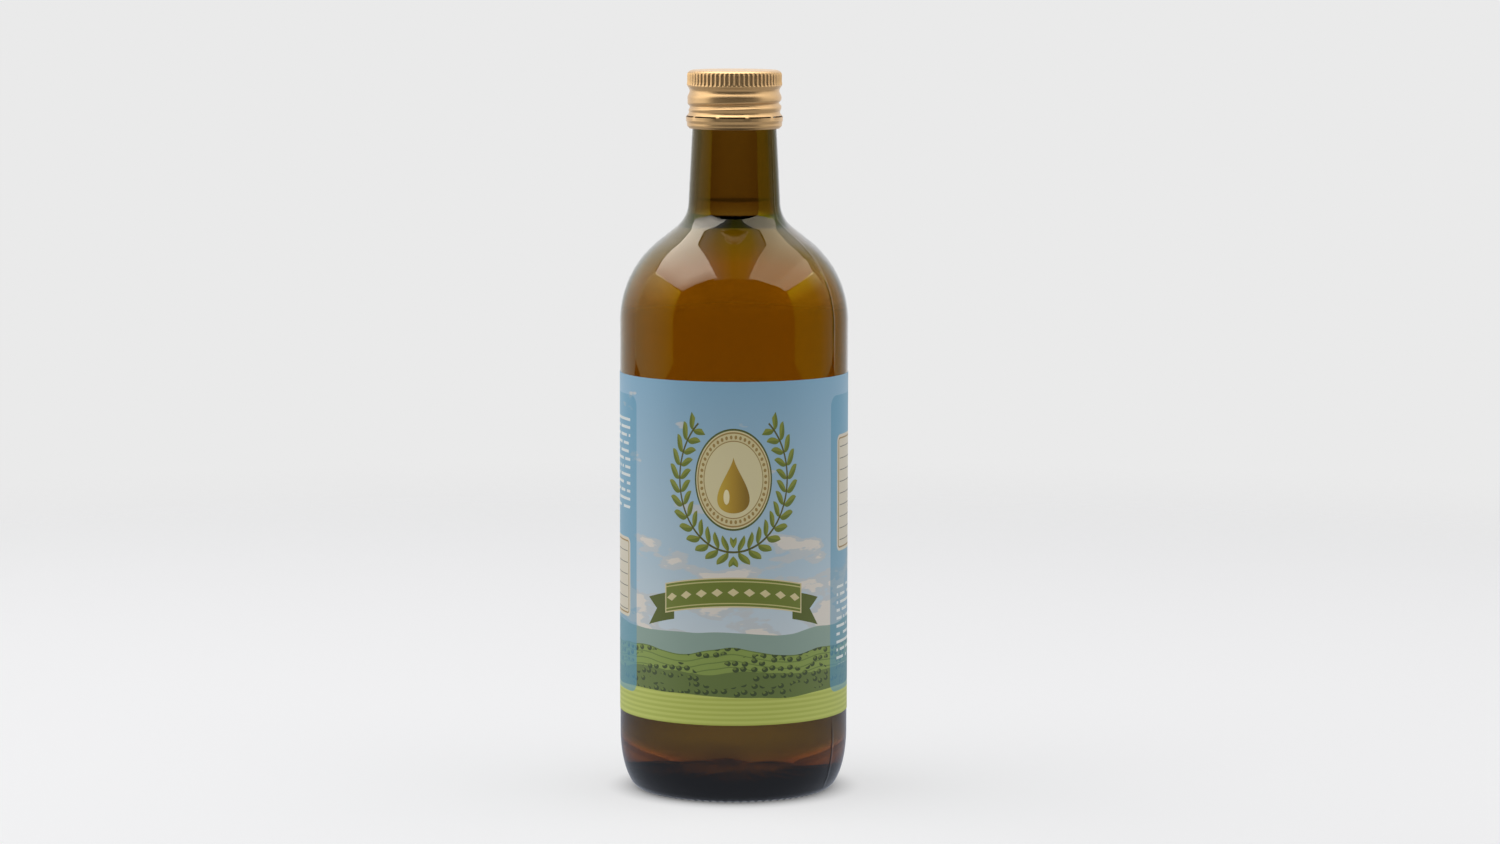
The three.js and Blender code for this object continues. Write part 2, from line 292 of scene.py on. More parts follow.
# Olive oil: a clear golden liquid that wets the glass. It fills the bottle to the foot of the neck, and its
# level creeps up a little where it meets the wall. Its piece reaches into the wall, so no air shows between.
_, oil_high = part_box("oil")
OIL_LEVEL = oil_high.z / MM
OIL_REACH_INTO_WALL = 0.5
MENISCUS_RISE = 0.6
MENISCUS_WIDTH = 1.3
oil_inset = WALL - OIL_REACH_INTO_WALL
oil_floor = floor_outline(oil_inset)
oil_root = BORE_ROOT_RADIUS + OIL_REACH_INTO_WALL
oil_fillet = BORE_FILLET - OIL_REACH_INTO_WALL
oil_top = OIL_LEVEL + MENISCUS_RISE
oil_shoulder = shoulder_outline(oil_inset, SHOULDER_TURN, oil_fillet, oil_root, SHOULDER_THINNING, oil_top)
level_edge = oil_shoulder[-1][0]
level = [
    (level_edge - inwards, OIL_LEVEL + MENISCUS_RISE * math.exp(-inwards / MENISCUS_WIDTH))
    for inwards in (0.5, 1, 1.6, 2.4, 3.4, 5, 8, 12)
]
oil_outline = oil_floor + straight(oil_floor[-1], oil_shoulder[0])[1:-1] + oil_shoulder
oil_outline += level + [(0, OIL_LEVEL)]
oil = turned_piece("olive_oil", oil_outline, GLASS_COLUMNS // 2)


def floor_of_oil(radius, azimuth, height):
    """The oil's underside follows the glass floor."""
    return radius, azimuth, height + uneven_floor(radius, azimuth, height)


reshape(oil, floor_of_oil)
bpy.ops.object.shade_smooth_by_angle(angle=math.radians(40))

# Where oil and glass touch, light steps only from one index to the other: the wetted glass takes that step,
# and the oil's own side, which lies just inside the wall, takes none. Its free level has its full index.
LEVEL_MARGIN = 0.1
OIL_IOR = 1.485
OIL_TINT = "#fdf000"
OIL_ABSORPTION = 60


def glass_index(radius, height):
    """The step of index over the glass: full in the air, small where the oil wets the inside."""
    inside = radius < np.interp(height, outside_heights, outside_radii) - WALL / 2
    wetted = inside & (height > FLOOR_UNDERSIDE) & (height < oil_top - LEVEL_MARGIN)
    return np.where(wetted, GLASS_IOR / OIL_IOR, GLASS_IOR)


def oil_index(radius, height):
    """The step of index over the oil: full at its free level, none in the wall."""
    free = (height > OIL_LEVEL - LEVEL_MARGIN) & (radius < level_edge - OIL_REACH_INTO_WALL)
    return np.where(free, OIL_IOR, 1.0)


make_clear(glass, "green_brown_bottle_glass", GLASS_TINT, GLASS_ABSORPTION, glass_index)
make_clear(oil, "clear_golden_oil", OIL_TINT, OIL_ABSORPTION, oil_index)
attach(oil, "root")
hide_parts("oil")

# Label: one sheet of smooth wet-glue paper, printed in colour and varnished, wrapped round the straight
# wall. Its two ends stop short of each other at the back, and its cut edges show the white paper.
label_low, label_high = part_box("label")
LABEL_FOOT = label_low.z / MM
LABEL_HEIGHT = label_high.z / MM - LABEL_FOOT
LABEL_GLUE = 0.03
LABEL_RADIUS = BODY_RADIUS + LABEL_GLUE
LABEL_THICKNESS = 0.1
LABEL_BARE_HALF_ANGLE = 25.7  # degrees left bare each way from the middle of the back
LABEL_COLUMNS = 220
LABEL_ROWS = 4
label_end = math.radians(180 - LABEL_BARE_HALF_ANGLE)
bpy.ops.object.select_all(action="DESELECT")
bpy.ops.mesh.primitive_plane_add(size=MM)
label = bpy.context.object
label.name = label.data.name = "paper_label"
bpy.ops.object.mode_set(mode="EDIT")
bpy.ops.mesh.merge(type="CENTER")
label_start = (LABEL_RADIUS * math.sin(label_end), -LABEL_RADIUS * math.cos(label_end), LABEL_FOOT)
bpy.ops.transform.translate(value=[MM * value for value in label_start])
row_step = (0, 0, LABEL_HEIGHT * MM / LABEL_ROWS)
for _ in range(LABEL_ROWS):
    bpy.ops.mesh.extrude_vertices_move(TRANSFORM_OT_translate={"value": row_step})
bpy.ops.mesh.select_all(action="SELECT")
bpy.ops.mesh.spin(steps=LABEL_COLUMNS, angle=2 * label_end, center=(0, 0, 0), axis=(0, 0, 1))
bpy.ops.mesh.select_all(action="SELECT")
bpy.ops.mesh.normals_make_consistent(inside=False)
bpy.ops.object.mode_set(mode="OBJECT")
if label.data.polygons[0].normal.dot(label.data.polygons[0].center) < 0:
    label.data.flip_normals()
sheet = label.modifiers.new("thickness", "SOLIDIFY")
sheet.thickness = LABEL_THICKNESS * MM
sheet.offset = 1
sheet.material_offset = sheet.material_offset_rim = 1
bpy.ops.object.modifier_apply(modifier=sheet.name)
bpy.ops.object.shade_smooth_by_angle(angle=math.radians(40))

# Printed paper: offset inks under a satin varnish. The print is laid out in millimetres, round from the
# middle of the front and up from the label's lower edge.
print_material, ink = new_material("varnished_printed_paper")
place = ink("TexCoord", output="Object")
to_right = ink("SeparateXYZ", place, output="X")
to_back = ink("SeparateXYZ", place, output="Y")
upwards = ink("SeparateXYZ", place, output="Z")
to_front = ink("Math", to_back, -1.0, operation="MULTIPLY")
azimuth = ink("Math", to_right, to_front, operation="ARCTAN2")
across = ink("Math", azimuth, LABEL_RADIUS, operation="MULTIPLY")
above_foot = ink("Math", upwards, LABEL_FOOT * MM, operation="SUBTRACT")
up = ink("Math", above_foot, 1 / MM, operation="MULTIPLY")
from_middle = ink("Math", across, operation="ABSOLUTE")


def over(under, colour, cover):
    """Prints a colour, given by its hex value or by nodes, over what lies under it."""
    colour = linear_colour(colour) if isinstance(colour, str) else colour
    return ink("Mix", cover, sockets={6: under, 7: colour}, output=2, data_type="RGBA")


def both(first, second):
    """Where two covers lie on each other."""
    return ink("Math", first, second, operation="MULTIPLY")


def rounded_box(sideways, centre, half, corner):
    """Distance in millimetres from the edge of a box with round corners, less than 0 inside it."""
    gaps = []
    for value, middle, reach in ((sideways, centre[0], half[0]), (up, centre[1], half[1])):
        offset = ink("Math", ink("Math", value, middle, operation="SUBTRACT"), operation="ABSOLUTE")
        past_straight = ink("Math", offset, reach - corner, operation="SUBTRACT")
        gaps.append(ink("Math", past_straight, 0.0, operation="MAXIMUM"))
    reach = ink("VectorMath", ink("CombineXYZ", *gaps), operation="LENGTH", output="Value")
    return ink("Math", reach, corner, operation="SUBTRACT")


def ridge_line(height, swing, length, start):
    """Height of a range of hills at each place across the label."""
    along = ink("Math", across, 1 / length, start, operation="MULTIPLY_ADD")
    rise = ink("TexNoise", sockets={"W": along, "Scale": 1.0, "Detail": 1.5}, noise_dimensions="1D")
    return ink("Math", rise, 2 * swing, height - swing, operation="MULTIPLY_ADD")


# Sky and clouds.
sky_share = ink("Math", up, LABEL_HEIGHT, operation="DIVIDE")
colour = ink("ValToRGB", sky_share, stops=[(0.22, "#cfdae0"), (0.5, "#b2cad8"), (1, "#8ab6d1")])
CLOUD_LENGTH, CLOUD_HEIGHT = 30, 12
CLOUD_FADE, CLOUD_THINNING = (56.0, 84.0), 0.16  # the clouds thin out between these heights
CLOUD_EDGE, CLOUD_LIT_EDGE = (0.49, 0.51), (0.545, 0.56)
cloud_across = ink("Math", across, 1 / CLOUD_LENGTH, operation="MULTIPLY")
cloud_up = ink("Math", up, 1 / CLOUD_HEIGHT, operation="MULTIPLY")
cloud_place = ink("CombineXYZ", cloud_across, cloud_up, 0.0)
cloud_puffs = ink("TexNoise", sockets={"Vector": cloud_place, "Scale": 1.0, "Detail": 4.0, "Roughness": 0.5})
cloud_fade = ink("MapRange", up, *CLOUD_FADE, 0.0, CLOUD_THINNING, interpolation_type="SMOOTHSTEP")
cloud_depth = ink("Math", cloud_puffs, cloud_fade, operation="SUBTRACT")
colour = over(colour, "#c6cdd0", ink("MapRange", cloud_depth, *CLOUD_EDGE, 0.0, 1.0))
colour = over(colour, "#e3ddd3", ink("MapRange", cloud_depth, *CLOUD_LIT_EDGE, 0.0, 1.0))

# Hills with terraces and groves of round trees, and a meadow in front.
TERRACE_SPACING, TERRACE_LINE = 2.4, 0.4
TREE_SPACING, TREE_SQUASH = 3.6, 1.25
TREE_RADIUS, TREE_LIT_RADIUS, TREE_LIT_SIDE = 0.34, 0.17, (0.1, -0.14, 0.0)  # in shares of the spacing
TREE_SCATTER = {"Scale": 1.0, "Randomness": 0.45}
GROVE_LENGTH, GROVE_HEIGHT, GROVE_BARE = 16, 7, 0.47
far_line = ridge_line(35, 5, 46, 3.1)
middle_line = ridge_line(27, 5, 40, 7.7)
near_line = ridge_line(19, 4, 34, 1.4)
meadow_line = ridge_line(11, 3, 52, 5.2)
colour = over(colour, "#8fa79b", ink("Math", up, far_line, operation="LESS_THAN"))
on_middle = ink("Math", up, middle_line, operation="LESS_THAN")
on_near = ink("Math", up, near_line, operation="LESS_THAN")
on_meadow = ink("Math", up, meadow_line, operation="LESS_THAN")
colour = over(colour, "#8a9f4b", on_middle)
below_middle = ink("Math", middle_line, up, operation="SUBTRACT")
terrace = ink("Math", below_middle, TERRACE_SPACING, operation="FLOORED_MODULO")
terrace_line = ink("Math", terrace, TERRACE_LINE, operation="LESS_THAN")
colour = over(colour, "#6b823a", both(on_middle, terrace_line))
colour = over(colour, "#66793a", on_near)
tree_across = ink("Math", across, 1 / TREE_SPACING, operation="MULTIPLY")
tree_up = ink("Math", up, TREE_SQUASH / TREE_SPACING, operation="MULTIPLY")
tree_place = ink("CombineXYZ", tree_across, tree_up, 0.0)
tree = ink("TexVoronoi", sockets={"Vector": tree_place, **TREE_SCATTER}, voronoi_dimensions="2D")
grove_across = ink("Math", across, 1 / GROVE_LENGTH, operation="MULTIPLY")
grove_up = ink("Math", up, 1 / GROVE_HEIGHT, operation="MULTIPLY")
grove_place = ink("CombineXYZ", grove_across, grove_up, 4.0)
grove = ink("TexNoise", sockets={"Vector": grove_place, "Scale": 1.0, "Detail": 1.0})
in_grove = both(on_middle, ink("Math", grove, GROVE_BARE, operation="GREATER_THAN"))
colour = over(colour, "#3d4d26", both(in_grove, ink("Math", tree, TREE_RADIUS, operation="LESS_THAN")))
lit_place = ink("VectorMath", tree_place, TREE_LIT_SIDE, operation="ADD")
lit_tree = ink("TexVoronoi", sockets={"Vector": lit_place, **TREE_SCATTER}, voronoi_dimensions="2D")
lit_side = ink("Math", lit_tree, TREE_LIT_RADIUS, operation="LESS_THAN")
colour = over(colour, "#6d8038", both(in_grove, lit_side))
meadow = ink("TexWave", sockets={
    "Vector": ink("CombineXYZ", ink("Math", across, 0.02, operation="MULTIPLY"), up, 0.0),
    "Scale": 0.16, "Distortion": 3.0, "Detail": 2.0,
}, bands_direction="Y", output="Fac")
meadow_colour = ink("ValToRGB", meadow, stops=[(0.2, "#b3bf55"), (0.8, "#c3cc66")])
colour = over(colour, meadow_colour, on_meadow)

# Oval medallion: a cream field with a beaded gold rim, a golden drop, and a leafy branch round it.
MEDALLION_HEIGHT, MEDALLION_HALF = 92, (14.5, 19)
medal_across = ink("Math", across, 1 / MEDALLION_HALF[0], operation="MULTIPLY")
above_middle = ink("Math", up, MEDALLION_HEIGHT, operation="SUBTRACT")
medal_up = ink("Math", above_middle, 1 / MEDALLION_HALF[1], operation="MULTIPLY")
medal_place = ink("CombineXYZ", medal_across, medal_up, 0.0)
medal_reach = ink("VectorMath", medal_place, operation="LENGTH", output="Value")
medal_down = ink("Math", medal_up, -1.0, operation="MULTIPLY")
medal_turn = ink("Math", ink("Math", medal_across, medal_down, operation="ARCTAN2"), operation="ABSOLUTE")

BRANCH_REACH, BRANCH_HALF_WIDTH, BRANCH_END = 1.42, 0.3, 2.45  # medallion radii, and radians from its foot
LEAF_COUNT, LEAF_LEAN, LEAF_FULLNESS, STEM_HALF_WIDTH = 34, 0.85, 1.45, 0.07
leaf_out = ink("Math", medal_reach, BRANCH_REACH, operation="SUBTRACT")
leaf_out = ink("Math", leaf_out, 1 / BRANCH_HALF_WIDTH, operation="MULTIPLY")
leaf_length = ink("Math", leaf_out, operation="ABSOLUTE")
leaf_turn = ink("Math", medal_turn, LEAF_COUNT / (2 * math.pi), operation="MULTIPLY")
leaf_lean = ink("Math", leaf_length, -LEAF_LEAN, leaf_turn, operation="MULTIPLY_ADD")
leaf_share = ink("Math", leaf_lean, operation="FRACT")
leaf_side = ink("Math", ink("Math", leaf_share, 0.5, operation="SUBTRACT"), operation="ABSOLUTE")
leaf_rest = ink("Math", 1.0, leaf_length, operation="SUBTRACT")
leaf_taper = ink("Math", leaf_length, leaf_rest, operation="MULTIPLY")
leaf_width = ink("Math", leaf_taper, LEAF_FULLNESS, operation="MULTIPLY")
on_branch = ink("Math", medal_turn, BRANCH_END, operation="LESS_THAN")
leaf_cover = both(on_branch, ink("Math", leaf_side, leaf_width, operation="LESS_THAN"))
stem_cover = both(on_branch, ink("Math", leaf_length, STEM_HALF_WIDTH, operation="LESS_THAN"))
leaf_half = ink("Math", leaf_share, 0.5, operation="GREATER_THAN")
colour = over(colour, "#6f7c2a", leaf_cover)
colour = over(colour, "#8b9438", both(leaf_cover, leaf_half))
colour = over(colour, "#5a5a26", stem_cover)
medal_rings = ink("ValToRGB", medal_reach, stops=[
    (0.0, "#ded3a6"), (0.74, "#d8cb9a"), (0.745, "#a4874a"), (0.765, "#d8cb9a"), (0.90, "#a4874a"),
    (0.93, "#ded3a6"), (0.96, "#55602a"),
])
medal_rings.node.color_ramp.interpolation = "CONSTANT"
colour = over(colour, medal_rings, ink("Math", medal_reach, 1.0, operation="LESS_THAN"))
BEAD_COUNT, BEAD_RING = 44, 0.831  # beads round the medallion, and their ring in shares of its radius
BEAD_HALF_LENGTH, BEAD_HALF_WIDTH = 0.282, 0.0388  # shares of a bead's step and of the medallion's radius
bead_turn = ink("Math", medal_turn, BEAD_COUNT / (2 * math.pi), operation="MULTIPLY")
bead_along = ink("Math", ink("Math", bead_turn, operation="FRACT"), 0.5, operation="SUBTRACT")
bead_along = ink("Math", bead_along, 1 / BEAD_HALF_LENGTH, operation="MULTIPLY")
bead_out = ink("Math", medal_reach, BEAD_RING, operation="SUBTRACT")
bead_out = ink("Math", bead_out, 1 / BEAD_HALF_WIDTH, operation="MULTIPLY")
bead = ink("VectorMath", ink("CombineXYZ", bead_along, bead_out, 0.0), operation="LENGTH", output="Value")
colour = over(colour, "#a4874a", ink("Math", bead, 1.0, operation="LESS_THAN"))

DROP_MIDDLE, DROP_HALF, DROP_FULLNESS = 90, (6, 10.5), 0.77
DROP_TAPER, DROP_ROUNDNESS = 1.5, 0.5  # powers of the distance from its tip and from its foot
GLINT_CENTRE, GLINT_HALF = (-2.56, 85.56), (1.11, 2.78)
above_drop = ink("Math", up, DROP_MIDDLE, operation="SUBTRACT")
drop_up = ink("Math", above_drop, 1 / DROP_HALF[1], operation="MULTIPLY")
drop_side = ink("Math", from_middle, 1 / DROP_HALF[0], operation="MULTIPLY")
drop_neck = ink("Math", ink("Math", 1.0, drop_up, operation="SUBTRACT"), DROP_TAPER, operation="POWER")
drop_base = ink("Math", ink("Math", drop_up, 1.0, operation="ADD"), DROP_ROUNDNESS, operation="POWER")
drop_shape = ink("Math", drop_neck, drop_base, operation="MULTIPLY")
drop_width = ink("Math", drop_shape, DROP_FULLNESS, operation="MULTIPLY")
drop_cover = ink("Math", drop_side, drop_width, operation="LESS_THAN")
drop_share = ink("Math", across, 1 / (2 * DROP_HALF[0]), 0.5, operation="MULTIPLY_ADD")
drop_colour = ink("ValToRGB", drop_share, stops=[(0.1, "#c9a83a"), (0.45, "#b8922b"), (0.9, "#8f6f1c")])
colour = over(colour, drop_colour, drop_cover)
glint_gaps = []
for value, middle, half in zip((across, up), GLINT_CENTRE, GLINT_HALF):
    glint_gaps.append(ink("Math", value, 1 / half, -middle / half, operation="MULTIPLY_ADD"))
glint = ink("VectorMath", ink("CombineXYZ", *glint_gaps), operation="LENGTH", output="Value")
colour = over(colour, "#efe3b4", ink("Math", glint, 1.0, operation="LESS_THAN"))

# Ribbon: an arched olive-green band with folded tails and a row of cream lozenges, with no lettering.
RIBBON_HEIGHT, RIBBON_HALF, RIBBON_LENGTH, RIBBON_ARCH = 50, 5.6, 27, 0.0045
RIBBON_EDGE, RIBBON_INLINE, INLINE_HALF = 0.5, 4.1, 0.22
TAIL_HALF, TAIL_DROP, TAIL_START, TAIL_NOTCH, TAIL_NOTCH_SLANT = 5.2, 3.2, 23, 31.0, 0.8
LOZENGE_SPACING, LOZENGE_SLANT, LOZENGE_HALF = 6, 4.2, 1.5
arch = ink("Math", ink("Math", across, across, operation="MULTIPLY"), RIBBON_ARCH, operation="MULTIPLY")
ribbon_up = ink("Math", ink("Math", up, arch, operation="ADD"), RIBBON_HEIGHT, operation="SUBTRACT")
ribbon_off = ink("Math", ribbon_up, operation="ABSOLUTE")
tail_off = ink("Math", ink("Math", ribbon_up, TAIL_DROP, operation="ADD"), operation="ABSOLUTE")
tail_end = ink("Math", tail_off, TAIL_NOTCH_SLANT, TAIL_NOTCH, operation="MULTIPLY_ADD")
tail_length = both(ink("Math", from_middle, tail_end, operation="LESS_THAN"),
                   ink("Math", from_middle, TAIL_START, operation="GREATER_THAN"))
tail = both(ink("Math", tail_off, TAIL_HALF, operation="LESS_THAN"), tail_length)
colour = over(colour, "#59651f", tail)
band = both(ink("Math", ribbon_off, RIBBON_HALF, operation="LESS_THAN"),
            ink("Math", from_middle, RIBBON_LENGTH, operation="LESS_THAN"))
colour = over(colour, "#d8cb9a", band)
inner_band = both(ink("Math", ribbon_off, RIBBON_HALF - RIBBON_EDGE, operation="LESS_THAN"),
                  ink("Math", from_middle, RIBBON_LENGTH - RIBBON_EDGE, operation="LESS_THAN"))
colour = over(colour, "#727f2a", inner_band)
inline = ink("Math", ink("Math", ribbon_off, RIBBON_INLINE, operation="SUBTRACT"), operation="ABSOLUTE")
colour = over(colour, "#c4bf7c", both(inner_band, ink("Math", inline, INLINE_HALF, operation="LESS_THAN")))
lozenge_turn = ink("Math", across, 1 / LOZENGE_SPACING, 0.5, operation="MULTIPLY_ADD")
lozenge_share = ink("Math", lozenge_turn, operation="FRACT")
lozenge_off = ink("Math", ink("Math", lozenge_share, 0.5, operation="SUBTRACT"), operation="ABSOLUTE")
lozenge = ink("Math", lozenge_off, LOZENGE_SLANT, ribbon_off, operation="MULTIPLY_ADD")
colour = over(colour, "#d8cb9a", both(inner_band, ink("Math", lozenge, LOZENGE_HALF, operation="LESS_THAN")))

# Side panels: a teal tint over the picture, with a ruled cream box and rows of plain bars in it.
PANEL_CENTRE, PANEL_HALF, PANEL_CORNER, PANEL_TINT = (79, 65), (36, 56), 4, 0.62
panel_edge = rounded_box(from_middle, PANEL_CENTRE, PANEL_HALF, PANEL_CORNER)
panel = ink("Math", panel_edge, 0.0, operation="LESS_THAN")
colour = over(colour, "#4d9abb", ink("Math", panel, PANEL_TINT, operation="MULTIPLY"))
on_right = ink("Math", across, 0.0, operation="GREATER_THAN")
on_left = ink("Math", across, 0.0, operation="LESS_THAN")
BAR_SPACING, BAR_SHARE, BAR_BREAK, BAR_GAPS, BAR_CORNER = 3.0, 0.36, 1.9, 0.2, 1
BOX_CORNER, BOX_LINE_INSET, BOX_LINE_HALF = 2.5, 1.4, 0.28
RULE_SPACING, RULE_SHARE, RULE_INSET = 4.4, 0.07, 2.4
bar_row = ink("Math", up, 1 / BAR_SPACING, operation="MULTIPLY")
bar_here = ink("Math", ink("Math", bar_row, operation="FRACT"), BAR_SHARE, operation="LESS_THAN")
bar_step = ink("Math", ink("Math", from_middle, 1 / BAR_BREAK, operation="MULTIPLY"), operation="FLOOR")
bar_place = ink("CombineXYZ", bar_step, ink("Math", bar_row, operation="FLOOR"), on_right)
bar_random = ink("TexWhiteNoise", bar_place, output="Value")
bar_inked = both(bar_here, ink("Math", bar_random, BAR_GAPS, operation="GREATER_THAN"))
rule_row = ink("Math", ink("Math", up, 1 / RULE_SPACING, operation="MULTIPLY"), operation="FRACT")
rule_here = ink("Math", rule_row, RULE_SHARE, operation="LESS_THAN")
for side, bars, bars_half, box, box_half in (
    (on_left, (78, 96), (30, 18), (72, 52), (24, 15)),
    (on_right, (78, 34), (30, 15), (73, 84), (25, 22)),
):
    bar_edge = rounded_box(from_middle, bars, bars_half, BAR_CORNER)
    bar_field = both(side, ink("Math", bar_edge, 0.0, operation="LESS_THAN"))
    colour = over(colour, "#dfe6e4", both(bar_field, bar_inked))
    box_edge = rounded_box(from_middle, box, box_half, BOX_CORNER)
    box_cover = both(side, ink("Math", box_edge, 0.0, operation="LESS_THAN"))
    colour = over(colour, "#dcd4c0", box_cover)
    box_line = ink("Math", ink("Math", box_edge, BOX_LINE_INSET, operation="ADD"), operation="ABSOLUTE")
    colour = over(colour, "#a4874a", both(side, ink("Math", box_line, BOX_LINE_HALF, operation="LESS_THAN")))
    rule_field = both(side, ink("Math", box_edge, -RULE_INSET, operation="LESS_THAN"))
    colour = over(colour, "#6a6558", both(rule_field, rule_here))

# Fine paper fibre under the varnish, drawn a little coarser than life so that it shows.
FIBRE_SIZE = 0.5
fibre = ink("TexNoise", sockets={"Vector": place, "Scale": 1 / (FIBRE_SIZE * MM), "Detail": 2.0})
fibre_relief = ink("Bump", sockets={"Strength": 0.08, "Distance": 0.05 * MM, "Height": fibre})
sheen = ink("MapRange", fibre, 0.3, 0.7, 0.4, 0.52)
print_surface = ink("BsdfPrincipled", sockets={
    "Base Color": colour, "Roughness": sheen, "Normal": fibre_relief,
})
ink("OutputMaterial", print_surface)
label.data.materials.append(print_material)

# Bare paper: the uncoated white back and the cut edges.
paper_material, paper_node = new_material("uncoated_white_paper")
paper_place = paper_node("TexCoord", output="Object")
paper_fibre = paper_node("TexNoise", sockets={
    "Vector": paper_place, "Scale": 1 / (FIBRE_SIZE * MM), "Detail": 3.0,
})
paper_colour = paper_node("ValToRGB", paper_fibre, stops=[(0.3, "#dcd9d0"), (0.7, "#eceae4")])
paper_surface = paper_node("BsdfPrincipled", sockets={"Base Color": paper_colour, "Roughness": 0.8})
paper_node("OutputMaterial", paper_surface)
label.data.materials.append(paper_material)
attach(label, "root")
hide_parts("label")

# Screw cap: one shell drawn from thin aluminium sheet, lacquered gold, and rolled onto the neck. Flutes
# round its top give a grip, the rolled groove follows the glass thread, and a tamper ring hangs from it
# by small bridges between slits.
cap_low, cap_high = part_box("cap")
CAP_FOOT = cap_low.z / MM
CAP_TOP = cap_high.z / MM
CAP_SHEET = 0.25
CAP_TOP_ROUND = (2.2, 1.8)
CAP_SKIRT = (
    # height and radius up the skirt: the curled foot, the tamper ring's lips, the thread's land, the groove
    # under the grip, and the grip's lower lip
    (250.2, 16.95), (250.5, 17.2), (250.85, 17.65), (251.2, 17.86), (252.35, 17.88), (252.75, 18.02),
    (253.1, 18.2), (253.6, 18.16), (254.7, 18.1), (255, 17.82), (255.4, 17.52), (255.8, 17.2),
    (256.2, 17.08), (256.6, 17.14), (257, 17.34), (257.5, 17.56), (258.2, 17.6), (261, 17.64),
    (261.9, 17.66), (262.4, 17.54), (262.8, 17.38), (263.2, 17.15), (263.6, 16.97), (264, 16.87),
    (264.5, 16.88), (265, 17.0), (265.4, 17.26), (265.8, 17.6), (266.2, 17.8), (266.6, 17.88),
    (267, 17.86), (267.4, 17.75),
)
CAP_SKIRT_ROUNDING = 0.16
CAP_RING_SPACING = 0.24
GRIP_RADIUS = 17.75
FLUTE_COUNT = 64
FLUTE_COLUMNS = 8
FLUTE_FOOT = 266.2
FLUTE_TOP = 271.35
FLUTE_DEPTH = 0.34
FLUTE_RUN_IN, FLUTE_RUN_OUT = 0.5, 0.6
THREAD_PITCH = 3.175
THREAD_FRONT_HEIGHT = 258.95
THREAD_DEPTH = 0.85
THREAD_HALF_WIDTH = 1.4
THREAD_TURNS = (-0.62, 0.42)
THREAD_RUN_OUT = 0.12
SLIT_COUNT = 10
SLIT_FOOT = 254.5
SLIT_WIDTH = 0.5
SLIT_BRIDGE = 4  # degrees of metal left between two slits
SLIT_TURN = 15.4  # degrees from the front to the middle of the nearest bridge
SLIT_LIP_RUN_IN = 4  # degrees
SLIT_LIP_FLARE, SLIT_LIP_FLARE_HEIGHT = 0.12, 1.2
SLIT_LIP_TUCK, SLIT_LIP_TUCK_HEIGHT = 0.1, 1.1


def hump(offset, half_width):
    """A smooth hump of height 1 round 0."""
    return 0.5 + 0.5 * math.cos(math.pi * min(1, abs(offset) / half_width))


def skirt_radius(height):
    """Radius of the skirt before the thread is rolled, with its corners rounded."""
    near = np.linspace(height - CAP_SKIRT_ROUNDING, height + CAP_SKIRT_ROUNDING, 5)
    return float(np.mean(np.interp(near, *zip(*CAP_SKIRT))))


def rings(low, high):
    """Heights of the rings of points between two heights."""
    count = max(1, round((high - low) / CAP_RING_SPACING))
    return [low + (high - low) * i / count for i in range(count + 1)]


grip_top = CAP_TOP - CAP_TOP_ROUND[1]
grip_foot = CAP_SKIRT[-1][0]
skirt_heights = rings(CAP_FOOT, SLIT_FOOT) + rings(SLIT_FOOT + SLIT_WIDTH, grip_foot)
cap_outline = [(skirt_radius(height), height) for height in skirt_heights]
cap_outline += [(GRIP_RADIUS, grip_foot + (grip_top - grip_foot) * i / 5) for i in range(1, 5)]
cap_outline += arc((GRIP_RADIUS - CAP_TOP_ROUND[0], grip_top), CAP_TOP_ROUND, 0, 90, 16)
cap_outline += [(12, CAP_TOP), (6, CAP_TOP), (0, CAP_TOP)]
cap = turned_piece("screw_cap", cap_outline, FLUTE_COUNT * FLUTE_COLUMNS)


def bridge_gap(azimuth):
    """Degrees from the middle of the nearest bridge between two slits."""
    step = 360 / SLIT_COUNT
    return abs((math.degrees(azimuth) - SLIT_TURN + step / 2) % step - step / 2)


def rolled_skirt(radius, azimuth, height):
    """The rolled thread, the flutes of the grip, and the lips of the tamper ring's slits."""
    turn = azimuth / (2 * math.pi)
    for turns in (turn - 1, turn, turn + 1):
        run_out = smoothstep(0, THREAD_RUN_OUT, min(turns - THREAD_TURNS[0], THREAD_TURNS[1] - turns))
        offset = height - THREAD_FRONT_HEIGHT - THREAD_PITCH * turns
        radius -= THREAD_DEPTH * run_out * hump(offset, THREAD_HALF_WIDTH)
    if FLUTE_FOOT < height < FLUTE_TOP and radius > GRIP_RADIUS - CAP_TOP_ROUND[0]:
        side = 2 * ((turn * FLUTE_COUNT) % 1) - 1
        ends = smoothstep(FLUTE_FOOT, FLUTE_FOOT + FLUTE_RUN_IN, height)
        ends *= 1 - smoothstep(FLUTE_TOP - FLUTE_RUN_OUT, FLUTE_TOP, height)
        radius -= FLUTE_DEPTH * ends * (1 - side * side)
    bridge_half = SLIT_BRIDGE / 2
    beside_bridge = smoothstep(bridge_half, bridge_half + SLIT_LIP_RUN_IN, bridge_gap(azimuth))
    flare_foot = SLIT_FOOT - SLIT_LIP_FLARE_HEIGHT
    slit_top = SLIT_FOOT + SLIT_WIDTH
    tuck_top = slit_top + SLIT_LIP_TUCK_HEIGHT
    if flare_foot < height <= SLIT_FOOT + HEIGHT_TOLERANCE:
        radius += SLIT_LIP_FLARE * beside_bridge * smoothstep(flare_foot, SLIT_FOOT, height)
    if slit_top - HEIGHT_TOLERANCE <= height < tuck_top:
        radius -= SLIT_LIP_TUCK * beside_bridge * (1 - smoothstep(slit_top, tuck_top, height))
    return radius, azimuth, height


